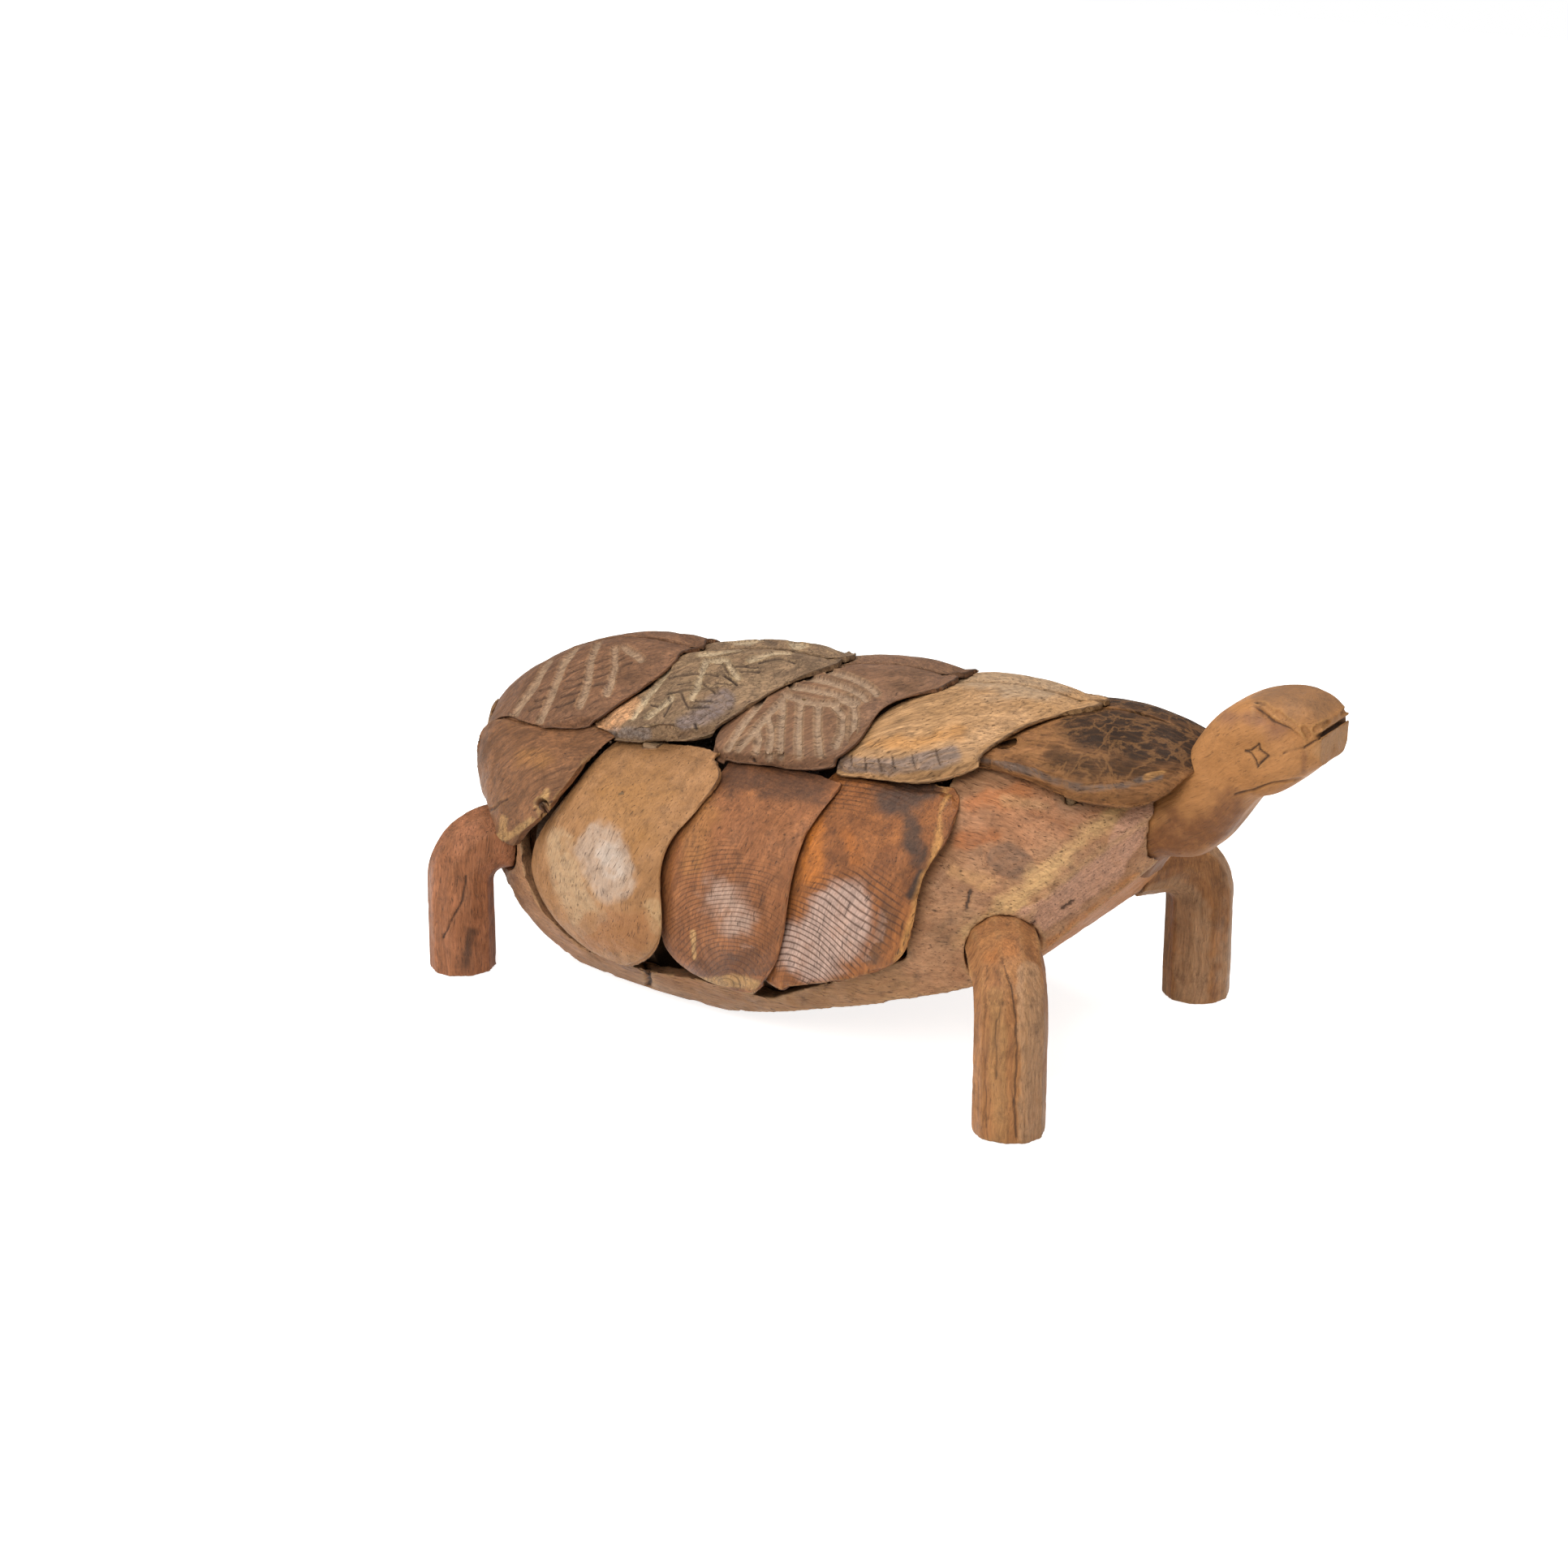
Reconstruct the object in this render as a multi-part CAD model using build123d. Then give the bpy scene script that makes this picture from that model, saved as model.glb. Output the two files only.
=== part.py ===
from build123d import *
import math
import os

# Carved turtle of reclaimed wood: a dug-out log hull, plank scutes pegged over bulkheads,
# a one-piece head and neck, and four bent legs. Millimetres, +X to the head, +Z up.

# Shell form
SHELL_MID = -75.0          # where the shell is widest, along X
SHELL_HALF_WIDTH = 210.0
SHELL_REAR = 400.0         # from the widest place to the rear end
BOW_REACH = 430.0          # from the widest place to the tip of the bow
ROOF_REAR = 440.0          # the upper scutes overhang both ends
ROOF_REACH = 560.0
GIRTH_HEIGHT = 150.0       # height of the widest line
BELLY_DEPTH = 190.0        # the belly's ellipse, which the keel line cuts flat
RIDGE_HEIGHT = 360.0
RIDGE_PEAK = 150.0         # where the ridge is highest, along X
RIDGE_FALL = 0.000177      # how fast the ridge drops away from its peak

# Scutes
SCUTE_THICK = 14.0
SCUTE_GAP = 6.0            # room for the crown of the plank that a front edge covers
SCUTE_CROWN = 4.0          # how much each lower plank bulges between its edges
UPPER_LIFT = 10.0          # how far the front edge of an upper plank lies over the next
UPPER_CROWN = 0.05         # the bulge of an upper plank, as a share of its width
REAR_DROP = 35.0           # the first upper plank turns down to the tail
FRONT_DROP = 22.0          # the fifth upper plank turns down to the neck
TOP_TUCK = 24.0            # the lower row leans in under the upper row
EAVE_FLARE = 8.0           # the upper row's eave stands out over the lower row
RIDGE_SEAM = 1.5           # half the gap between the two upper rows
TAIL_WIDTH = 176.0
TAIL_BEND = 36.0           # how far its sides sweep forward

# Hull
HULL_SET = 6.0             # the log lies this far inside the face of the lower scutes
HULL_WALL = 20.0
FLOOR_THICK = 18.0
KEEL_HEIGHT = 14.0
STERN_X = -440.0
STERN_FRONT = -345.0       # the log's solid stern ends here
STERN_TOP = 205.0
BOW_REAR = 135.0           # the log's solid bow starts here
BOW_FRONT = 332.0
LEDGE_HEIGHT = 52.0        # the lower scutes stand on this ledge
FACET_POINT = (326.0, -50.0, 311.0)    # the flat axe cut on each cheek of the bow
FACET_NORMAL = (0.83, -0.52, -0.21)

# Frame inside
BULKHEADS = [-315.0, -190.0, -45.0, 100.0]    # their places along X
BULKHEAD_THICK = 24.0
BULKHEAD_FIT = 0.3
BEAM_WIDTH = 40.0
BEAM_DEPTH = 40.0
BEAM_REAR = -350.0
BEAM_FRONT = 205.0
DOWEL = 10.0
DOWEL_GRIP = 30.0          # depth of a dowel in the frame

# Legs
LEG_RADIUS = 36.0
LEG_SIDES = 10
LEG_EDGE = 6.0             # rounding of the planed edges
ELBOW_BEND = 46.0
FRONT_FOOT = (260.0, -195.0)
FRONT_ELBOW_TOP = 190.0
FRONT_ARM = 78.0
FRONT_TURN = 126.0         # direction of the arm in plan
REAR_FOOT = (-416.0, -160.0)
REAR_ELBOW_TOP = 179.0
REAR_ARM = 56.0
REAR_TURN = 44.0
LEG_TENON = 44.0
LEG_TENON_LENGTH = 46.0
SOCKET_FIT = 0.6

# Head and neck
TENON_WIDTH = 44.0
TENON_HEIGHT = 54.0
TENON_LENGTH = 70.0
PEG = 14.0                 # pegs through the neck and leg tenons
MOUTH_DEPTH = 36.0
MOUTH_OPEN = 4.0
MOUTH_HEIGHT = 389.0
MOUTH_DROP = 23.0

# Small pieces and holes
LASHING_HOLE = 18.0        # old hole through the fifth upper plank
LASHING_PLACE = (182.0, -78.0)
WEDGE_SIZE = (18.0, 22.0, 16.0)
WEDGE_PLACE = (-196.0, -117.0, 270.5)    # on the second lower plank, under the eave of the upper one

FRONT_LIFT = SCUTE_THICK + SCUTE_GAP   # each front edge lies on the next plank
TALL = 1000.0                          # longer than any cut goes


def half_width(x, rear, front):
    reach = rear if x < SHELL_MID else front
    share = min(abs(x - SHELL_MID) / reach, 0.999)
    return SHELL_HALF_WIDTH * (1 - share ** 2.5) ** 0.6


def ridge(x):
    return RIDGE_HEIGHT - RIDGE_FALL * (x - RIDGE_PEAK) ** 2


# Half width of the body at a height, on the face that the lower scutes follow
def side_y(x, z):
    width = half_width(x, SHELL_REAR, BOW_REACH)
    if z < GIRTH_HEIGHT:
        return width * math.sqrt(1 - ((GIRTH_HEIGHT - z) / BELLY_DEPTH) ** 2)
    rise = min((z - GIRTH_HEIGHT) / (ridge(x) - GIRTH_HEIGHT), 0.999)
    return width * (1 - rise ** 2.2) ** (1 / 1.5)


# Height of the roof that the upper scutes follow
def roof_z(x, y):
    share = min(abs(y) / half_width(x, ROOF_REAR, ROOF_REACH), 0.995)
    return GIRTH_HEIGHT + (ridge(x) - GIRTH_HEIGHT) * (1 - share ** 1.5) ** (1 / 2.2)


# Cross-section of the log: four arcs through the girth, the keel and the domed top
def body_section(x, inset):
    plane = Plane(origin=(x, 0, 0), x_dir=(0, 1, 0), z_dir=(1, 0, 0))
    width = half_width(x, SHELL_REAR, BOW_REACH) - inset
    top = ridge(x) - FRONT_LIFT - inset
    keel = GIRTH_HEIGHT - BELLY_DEPTH + inset
    dome_share = 0.72
    dome = GIRTH_HEIGHT + (top - GIRTH_HEIGHT) * (1 - dome_share ** 1.5) ** (1 / 2.2)
    belly = GIRTH_HEIGHT - (GIRTH_HEIGHT - keel) * math.sqrt(1 - dome_share ** 2)
    outline = ThreePointArc((width, GIRTH_HEIGHT), (width * dome_share, dome), (0, top))
    outline += ThreePointArc((0, top), (-width * dome_share, dome), (-width, GIRTH_HEIGHT))
    outline += ThreePointArc((-width, GIRTH_HEIGHT), (-width * dome_share, belly), (0, keel))
    outline += ThreePointArc((0, keel), (width * dome_share, belly), (width, GIRTH_HEIGHT))
    return plane * make_face(outline)


def side_prism(points):
    outline = make_face(Polyline(*points, close=True))
    return extrude(Plane.XZ * outline, amount=TALL / 2, both=True)


def keel_line(lift):
    return [(STERN_X - 1, 140 + lift), (-377, 80 + lift), (-295, KEEL_HEIGHT + lift),
            (-95, KEEL_HEIGHT + lift), (230, 128 + lift), (290, 195 + lift), (BOW_FRONT + 1, 240 + lift)]


def make_hull():
    log = loft([body_section(x, HULL_SET) for x in (STERN_X, -350, -220, -60, 100, 230, BOW_FRONT)])
    ledge = [(BOW_REAR, 142), (15, 82), (-20, 62), (-110, 62), (-180, LEDGE_HEIGHT),
             (-265, LEDGE_HEIGHT), (-312, 82), (-335, 120)]
    ends = [(BOW_FRONT + 1, TALL), (BOW_REAR, TALL)]
    stern = [(STERN_FRONT, STERN_TOP), (STERN_X - 1, STERN_TOP)]
    log = log & side_prism(keel_line(0) + ends + ledge + stern)
    trough = loft([body_section(x, HULL_SET + HULL_WALL) for x in (STERN_FRONT + 1, -220, -60, BOW_REAR)])
    log = log - (trough & above_floor())
    cheek = Plane(origin=FACET_POINT, z_dir=FACET_NORMAL)
    waste = extrude(cheek * Rectangle(TALL, TALL), amount=TALL)
    return log - waste - mirror(waste, Plane.XZ)


def above_floor():
    return side_prism(keel_line(FLOOR_THICK) + [(BOW_FRONT + 1, TALL), (STERN_X - 1, TALL)])


def make_bulkhead(x):
    board = body_section(x, HULL_SET + HULL_WALL + BULKHEAD_FIT)
    return extrude(board, amount=BULKHEAD_THICK / 2, both=True) & above_floor()


def make_beam():
    middle = (BEAM_REAR + BEAM_FRONT) / 2
    tops = [(x, ridge(x) - FRONT_LIFT) for x in (BEAM_REAR, middle, BEAM_FRONT)]
    soffits = [(x, z - BEAM_DEPTH) for x, z in reversed(tops)]
    outline = ThreePointArc(*tops) + Line(tops[2], soffits[0])
    outline += ThreePointArc(*soffits) + Line(soffits[2], tops[0])
    return extrude(Plane.XZ * make_face(outline), amount=BEAM_WIDTH / 2, both=True)


# One plank section: an outer arc, an inner arc a plank's thickness behind it, square edges
def plank_section(plane, outer, inner):
    outline = ThreePointArc(*outer) + Line(outer[2], inner[2])
    outline += ThreePointArc(*reversed(inner)) + Line(inner[0], outer[0])
    return plane * make_face(outline)


# Lower scute: level sections, each with its height, rear edge and front edge
def lower_scute(stations, rear_lift=0.0):
    sections = []
    for height, rear, front in stations:
        tuck = TOP_TUCK if height == stations[-1][0] else 0.0
        slope = (side_y(SHELL_MID, height + 2) - side_y(SHELL_MID, height - 2)) / 4
        thick = SCUTE_THICK * math.sqrt(1 + slope ** 2)
        outer = []
        inner = []
        lifts = (rear_lift, (rear_lift + FRONT_LIFT) / 2 + SCUTE_CROWN, FRONT_LIFT)
        for x, lift in zip((rear, (rear + front) / 2, front), lifts):
            turn = (side_y(x + 2, height) - side_y(x - 2, height)) / 4
            out = Vector(-turn, -1).normalized()
            face = Vector(x, -side_y(x, height)) + out * (lift - tuck)
            outer.append(face)
            inner.append(face - out * thick)
        sections.append(plank_section(Plane.XY.offset(height), outer, inner))
    return loft(sections)


# Upper scute: upright sections, each with its distance from the ridge, rear edge and front edge
def upper_scute(stations, rear_drop=0.0, front_drop=0.0):
    sections = []
    eave = stations[0][0]
    for side, rear, front in stations:
        flare = EAVE_FLARE if side == eave else 0.0
        fade = 1 - side / eave
        middle = (rear + front) / 2
        slope = (roof_z(middle, side - 2) - roof_z(middle, side + 2)) / 4
        thick = SCUTE_THICK if side == eave else SCUTE_THICK * math.sqrt(1 + slope ** 2)
        crown = UPPER_CROWN * (front - rear)
        lifts = (-rear_drop * fade, UPPER_LIFT / 2, UPPER_LIFT - front_drop * fade)
        inner = [(x, roof_z(x, side) + flare + lift - thick) for x, lift in zip((rear, middle, front), lifts)]
        outer = [(x, z + thick + bulge) for (x, z), bulge in zip(inner, (0, crown, 0))]
        sections.append(plank_section(Plane.XZ.offset(side), outer, inner))
    return loft(sections)


def rod(start, end, diameter):
    start = Vector(*start)
    end = Vector(*end)
    return extrude(Plane(origin=start, z_dir=end - start) * Circle(diameter / 2), amount=(end - start).length)


def make_leg(foot, elbow_top, arm, turn):
    axis_height = elbow_top - LEG_RADIUS
    inward = Vector(math.cos(math.radians(turn)), math.sin(math.radians(turn)), 0)
    elbow = Vector(*foot, axis_height)
    shoulder = elbow + inward * arm
    path = FilletPolyline(Vector(*foot, 0), elbow, shoulder, radius=ELBOW_BEND)
    section = RegularPolygon(LEG_RADIUS, LEG_SIDES)
    section = fillet(section.vertices(), LEG_EDGE)
    post = sweep(Plane(origin=Vector(*foot, 0), z_dir=(0, 0, 1)) * section, path=path)
    return post + rod(shoulder - inward, shoulder + inward * LEG_TENON_LENGTH, LEG_TENON)


# The stepped bore that a leg's arm and tenon sit in
def leg_socket(foot, elbow_top, arm, turn):
    inward = Vector(math.cos(math.radians(turn)), math.sin(math.radians(turn)), 0)
    elbow = Vector(*foot, elbow_top - LEG_RADIUS)
    shoulder = elbow + inward * arm
    bore = rod(elbow, shoulder, 2 * LEG_RADIUS + SOCKET_FIT)
    return bore + rod(shoulder - inward, shoulder + inward * LEG_TENON_LENGTH, LEG_TENON)


# A peg that drops through the middle of a leg's tenon
def leg_peg(foot, elbow_top, arm, turn):
    reach = arm + LEG_TENON_LENGTH / 2
    x = foot[0] + reach * math.cos(math.radians(turn))
    y = foot[1] + reach * math.sin(math.radians(turn))
    middle = elbow_top - LEG_RADIUS
    return rod((x, y, middle - LEG_TENON / 2 - DOWEL), (x, y, middle + LEG_TENON / 2 + DOWEL), PEG)


# Head and neck: rounded sections along a bent line, each with its centre, pitch, height, width and rounding
NECK_LINE = [(281, 229, 44, 72, 76, 28), (322, 262, 47, 80, 78, 29), (369, 307, 46, 78, 76, 28),
             (398, 349, 28, 90, 84, 30), (434, 366, 6, 96, 96, 32), (466, 375, 0, 70, 86, 24),
             (484, 377, 0, 44, 62, 12)]


def neck_plane(x, z, pitch):
    along = (math.cos(math.radians(pitch)), 0, math.sin(math.radians(pitch)))
    return Plane(origin=(x, 0, z), x_dir=(0, 1, 0), z_dir=along)


def make_head():
    sections = []
    for x, z, pitch, height, width, rounding in NECK_LINE:
        sections.append(neck_plane(x, z, pitch) * RectangleRounded(width, height, rounding))
    root = neck_plane(*NECK_LINE[0][:3])
    tenon = root.offset(1) * RectangleRounded(TENON_WIDTH, TENON_HEIGHT, LEG_EDGE)
    head = loft(sections) + extrude(tenon, amount=-TENON_LENGTH - 1)
    nose = NECK_LINE[-1][0]
    corner = (nose - MOUTH_DEPTH, MOUTH_HEIGHT - MOUTH_DROP)
    slot = [(nose + 1, MOUTH_HEIGHT + MOUTH_OPEN / 2), (nose + 1, MOUTH_HEIGHT - MOUTH_OPEN / 2), corner]
    return head - side_prism(slot)


def make_neck_peg():
    root = neck_plane(*NECK_LINE[0][:3])
    middle = root.offset(-TENON_LENGTH / 2).origin
    reach = Vector(0, TENON_WIDTH / 2 + DOWEL_GRIP, 0)
    return rod(middle - reach, middle + reach, PEG)


# The tail scute closes the rear between the two lower rows, on level sections
def make_tail():
    sections = []
    for height, share in ((126, 0.6), (170, 1.0), (216, 0.9), (246, 0.6)):
        half = TAIL_WIDTH / 2 * share
        back = STERN_X - FRONT_LIFT - SCUTE_THICK
        outer = [(back + TAIL_BEND * share, -half), (back, 0), (back + TAIL_BEND * share, half)]
        inner = [(x + SCUTE_THICK, y) for x, y in outer]
        sections.append(plank_section(Plane.XY.offset(height), outer, inner))
    return loft(sections)


# Lower scutes from the tail forward: height, rear edge and front edge of each level section
LOWER = [
    [(158, -352, -318), (184, -380, -298), (212, -420, -272), (238, -425, -256), (256, -404, -248),
     (280, -330, -240)],
    [(58, -262, -184), (85, -306, -143), (135, -322, -118), (190, -296, -120), (240, -264, -97),
     (276, -246, -95)],
    [(68, -116, -28), (95, -138, -2), (150, -138, 21), (200, -136, 25), (250, -118, 30), (286, -114, 38)],
    [(90, -22, 16), (116, -18, 84), (146, -8, 136), (195, 2, 149), (250, 5, 159), (290, 16, 160)],
]
# Upper scutes from the tail forward: distance from the ridge, rear edge and front edge of each section
UPPER = [
    [(125, -335, -285), (116, -392, -262), (104, -432, -250), (70, -446, -232), (36, -458, -222),
     (RIDGE_SEAM, -468, -216)],
    [(130, -222, -165), (125, -255, -140), (118, -274, -122), (90, -262, -96), (48, -250, -68),
     (RIDGE_SEAM, -236, -46)],
    [(141, -80, -30), (136, -108, 0), (126, -122, 30), (95, -120, 42), (52, -96, 56), (RIDGE_SEAM, -72, 84)],
    [(132, 44, 84), (127, 22, 112), (115, 20, 146), (84, 26, 178), (46, 40, 206), (RIDGE_SEAM, 60, 250)],
    [(104, 178, 240), (98, 154, 300), (88, 146, 346), (58, 168, 366), (32, 190, 368), (RIDGE_SEAM, 214, 366)],
]
ORDER = ["first", "second", "third", "fourth", "fifth"]
LOWER_DOWELS = [(215, 248), (100, 240), (112, 240), (155, 245)]    # heights on each bulkhead
EAVE_DOWEL = 72.0          # from the ridge to the dowels in the bulkheads
RIDGE_DOWEL = 12.0         # from the ridge to the dowels in the beam
BOW_DOWELS = [(250.0, 70.0), (296.0, RIDGE_DOWEL)]
TAIL_DOWELS = 18.0
MID_PLANK = FRONT_LIFT / 2 + SCUTE_CROWN - SCUTE_THICK / 2    # where a blind dowel ends in a plank


def lower_dowel(row, height):
    x = BULKHEADS[row]
    face = side_y(x, height)
    end = face + MID_PLANK + (FRONT_LIFT / 2 if row == 0 else 0)
    return rod((x, DOWEL_GRIP + HULL_WALL - face, height), (x, -end, height), DOWEL)


def upper_dowel(x, side):
    face = roof_z(x, side)
    return rod((x, -side, face - HULL_WALL - DOWEL_GRIP), (x, -side, face + UPPER_LIFT / 2), DOWEL)


def tail_dowel(side):
    back = STERN_X - FRONT_LIFT - SCUTE_THICK / 2
    return rod((STERN_X + DOWEL_GRIP, side, 170), (back, side, 170), DOWEL)


def both_sides(pieces):
    return pieces + [mirror(piece, Plane.XZ) for piece in pieces]


# Cuts a piece to its neighbours and drops the chips that fall off
def trim(piece, cutters):
    for cutter in cutters:
        rest = piece - cutter
        piece = max(rest.solids(), key=lambda solid: solid.volume)
    return piece


FRONT_LEG = (FRONT_FOOT, FRONT_ELBOW_TOP, FRONT_ARM, FRONT_TURN)
REAR_LEG = (REAR_FOOT, REAR_ELBOW_TOP, REAR_ARM, REAR_TURN)
leg_pegs = [leg_peg(*FRONT_LEG), leg_peg(*REAR_LEG)]
neck_peg = make_neck_peg()
lower_dowels = [lower_dowel(row, height) for row in range(len(LOWER)) for height in LOWER_DOWELS[row]]
ridge_places = [(rows[-1][1] + rows[-1][2]) / 2 for rows in UPPER[:-1]]
board_dowels = [upper_dowel(x, EAVE_DOWEL) for x in BULKHEADS]
beam_dowels = [upper_dowel(x, RIDGE_DOWEL) for x in ridge_places]
bow_dowels = [upper_dowel(x, side) for x, side in BOW_DOWELS]
upper_dowels = board_dowels + beam_dowels + bow_dowels
tail_dowels = both_sides([tail_dowel(TAIL_DOWELS)])

# The log is bored for the legs, the neck, the beam and every peg that goes into it
legs = [trim(make_leg(*leg), [peg]) for leg, peg in zip((FRONT_LEG, REAR_LEG), leg_pegs)]
whole_head = make_head()
whole_beam = make_beam()
sockets = both_sides([leg_socket(*FRONT_LEG), leg_socket(*REAR_LEG)])
bores = both_sides(leg_pegs + bow_dowels) + tail_dowels + [neck_peg]
hull = trim(make_hull(), [whole_beam, whole_head] + sockets + bores)
head = trim(whole_head, [neck_peg])
beam = trim(whole_beam, both_sides(beam_dowels))

# Each plank is scribed to the log and to the planks that it covers, then bored for its dowels
lower = [lower_scute(rows, FRONT_LIFT if rows is LOWER[0] else 0) for rows in LOWER]
upper = [upper_scute(UPPER[0], rear_drop=REAR_DROP)]
upper += [upper_scute(rows) for rows in UPPER[1:-1]]
upper += [upper_scute(UPPER[-1], front_drop=FRONT_DROP)]
wedge = Location(WEDGE_PLACE) * Box(*WEDGE_SIZE)
for row in range(len(lower) - 1, -1, -1):
    dowels = lower_dowels[2 * row:2 * row + 2]
    lower[row] = trim(lower[row], lower[row + 1:row + 2] + dowels + [hull])
for row in range(len(upper) - 1, -1, -1):
    dowels = bow_dowels if row == len(UPPER) - 1 else [board_dowels[row], beam_dowels[row]]
    upper[row] = trim(upper[row], upper[row + 1:row + 2] + lower + dowels)
lashing_hole = rod((*LASHING_PLACE, GIRTH_HEIGHT), (*LASHING_PLACE, TALL), LASHING_HOLE)
upper[-1] = trim(upper[-1], [whole_head, lashing_hole])
lower[1] = trim(lower[1], [wedge])
tail = trim(make_tail(), both_sides([lower[0], upper[0]]) + tail_dowels + [hull])
bulkheads = []
for index, x in enumerate(BULKHEADS):
    dowels = lower_dowels[2 * index:2 * index + 2] + [board_dowels[index]]
    bulkheads.append(trim(make_bulkhead(x), [whole_beam, hull] + both_sides(lower + upper + dowels)))

pieces = {"hull": hull, "ridge_beam": beam, "head_and_neck": head, "neck_peg": neck_peg, "tail_scute": tail}
for name, board in zip(ORDER, bulkheads):
    pieces[name + "_bulkhead"] = board
for row, planks in (("lower", lower), ("upper", upper)):
    for name, plank in zip(ORDER, planks):
        pieces["right_%s_%s_scute" % (row, name)] = plank
        pieces["left_%s_%s_scute" % (row, name)] = mirror(plank, Plane.XZ)
pieces["right_eave_wedge"] = wedge
pieces["left_eave_wedge"] = mirror(wedge, Plane.XZ)
for name, leg in zip(("front", "rear"), legs):
    pieces["right_%s_leg" % name] = leg
    pieces["left_%s_leg" % name] = mirror(leg, Plane.XZ)
groups = {"leg_pegs": leg_pegs, "lower_scute_dowels": lower_dowels, "upper_scute_dowels": upper_dowels}
for name, rods in groups.items():
    pieces[name] = Compound([copy.solid() for copy in both_sides(rods)])
pieces["tail_scute_dowels"] = Compound([dowel.solid() for dowel in tail_dowels])

# The origin is under the middle of the whole turtle
box = Compound(list(pieces.values())).bounding_box()
centre = Location((-(box.min.X + box.max.X) / 2, 0, 0))
print("size", [round(v, 1) for v in box.size], "moved along X by", round(centre.position.X, 2))
os.makedirs("parts", exist_ok=True)
for name, piece in pieces.items():
    export_step(centre * piece, "parts/%s.step" % name)
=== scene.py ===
import math
import bmesh
import bpy
import numpy as np
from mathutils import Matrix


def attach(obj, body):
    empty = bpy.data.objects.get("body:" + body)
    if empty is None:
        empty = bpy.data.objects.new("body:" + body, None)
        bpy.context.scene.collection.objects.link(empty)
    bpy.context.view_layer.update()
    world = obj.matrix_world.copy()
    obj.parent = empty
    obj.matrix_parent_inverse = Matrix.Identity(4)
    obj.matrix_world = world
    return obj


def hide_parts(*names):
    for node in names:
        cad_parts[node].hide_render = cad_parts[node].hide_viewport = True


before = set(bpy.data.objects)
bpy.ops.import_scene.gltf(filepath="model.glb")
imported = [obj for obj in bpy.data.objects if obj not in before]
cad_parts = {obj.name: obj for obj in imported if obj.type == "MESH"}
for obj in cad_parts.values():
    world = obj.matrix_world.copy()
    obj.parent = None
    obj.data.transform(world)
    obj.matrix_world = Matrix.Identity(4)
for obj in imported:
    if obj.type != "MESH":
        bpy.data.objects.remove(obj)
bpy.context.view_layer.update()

scene = bpy.context.scene


def toLinear(hexText):
    channels = [int(hexText[i:i + 2], 16) / 255 for i in (0, 2, 4)]
    return [c / 12.92 if c <= 0.04045 else ((c + 0.055) / 1.055) ** 2.4 for c in channels] + [1.0]


# the camera that the photograph was worked back to
photoSize = 1932
pixelSize = 0.00077        # metres at the turtle
viewer = dict(place=(1.6967, -2.8031, 1.4287), tilt=70, turn=33, lens=80, sensor=36)
cameraData = bpy.data.cameras.new("viewer")
cameraData.lens = viewer["lens"]
cameraData.sensor_width = viewer["sensor"]
cameraData.clip_end = 100
camera = bpy.data.objects.new("viewer", cameraData)
camera.location = viewer["place"]
camera.rotation_euler = (math.radians(viewer["tilt"]), 0, math.radians(viewer["turn"]))
scene.collection.objects.link(camera)
scene.camera = camera
cameraTurn = np.array(camera.rotation_euler.to_matrix())
print("stage: camera set")


def toPhoto(points):
    away = (points - np.array(viewer["place"])) @ cameraTurn
    focal = viewer["lens"] / viewer["sensor"] * photoSize
    return photoSize / 2 + focal * away[:, :2] * (-1, 1) / away[:, 2:]


# value noise from -1 to 1, with cells of the given size in metres
def cellNoise(points, size, seed):
    cells = 32
    table = np.random.default_rng(seed).uniform(-1, 1, (cells, cells, cells))
    place = points / np.array(size) + seed * 3.7
    base = np.floor(place).astype(int)
    part = place - base
    part = part * part * (3 - 2 * part)
    total = np.zeros(len(points))
    for corner in range(8):
        step = np.array([corner & 1, corner >> 1 & 1, corner >> 2 & 1])
        weight = np.prod(np.where(step == 1, part, 1 - part), axis=1)
        i = (base + step) % cells
        total += weight * table[i[:, 0], i[:, 1], i[:, 2]]
    return total


# distance in photo pixels from each point to a stroke
def strokeDistance(pixels, stroke):
    best = np.full(len(pixels), 1e9)
    for a, b in zip(stroke[:-1], stroke[1:]):
        start = np.array(a, float)
        run = np.array(b, float) - start
        t = np.clip((pixels - start) @ run / max(run @ run, 1e-9), 0, 1)
        best = np.minimum(best, np.linalg.norm(pixels - start - t[:, None] * run, axis=1))
    return best


def ease(value, low, high):
    t = np.clip((value - low) / (high - low), 0, 1)
    return t * t * (3 - 2 * t)


def camelName(node):
    words = node.split("_")
    return words[0] + "".join(word.capitalize() for word in words[1:])


# a close-knit copy of a CAD piece, with its edges rounded as wear does
def knitCopy(node, voxel, rounds):
    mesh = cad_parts[node].data.copy()
    weld = bmesh.new()
    weld.from_mesh(mesh)
    bmesh.ops.remove_doubles(weld, verts=weld.verts, dist=1e-6)
    weld.to_mesh(mesh)
    weld.free()
    piece = bpy.data.objects.new(camelName("carved_" + node), mesh)
    scene.collection.objects.link(piece)
    knit = piece.modifiers.new("knit", "REMESH")
    knit.mode = "VOXEL"
    knit.voxel_size = voxel
    worn = piece.modifiers.new("worn", "SMOOTH")
    worn.factor = 0.5
    worn.iterations = rounds
    graph = bpy.context.evaluated_depsgraph_get()
    result = bpy.data.meshes.new_from_object(piece.evaluated_get(graph))
    piece.modifiers.clear()
    piece.data = result
    result.materials.clear()
    return piece


def readMesh(mesh):
    count = len(mesh.vertices)
    points = np.empty(count * 3, np.float32)
    mesh.vertices.foreach_get("co", points)
    normals = np.empty(count * 3, np.float32)
    mesh.vertex_normals.foreach_get("vector", normals)
    return points.reshape(-1, 3).astype(float), normals.reshape(-1, 3).astype(float)


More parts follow.
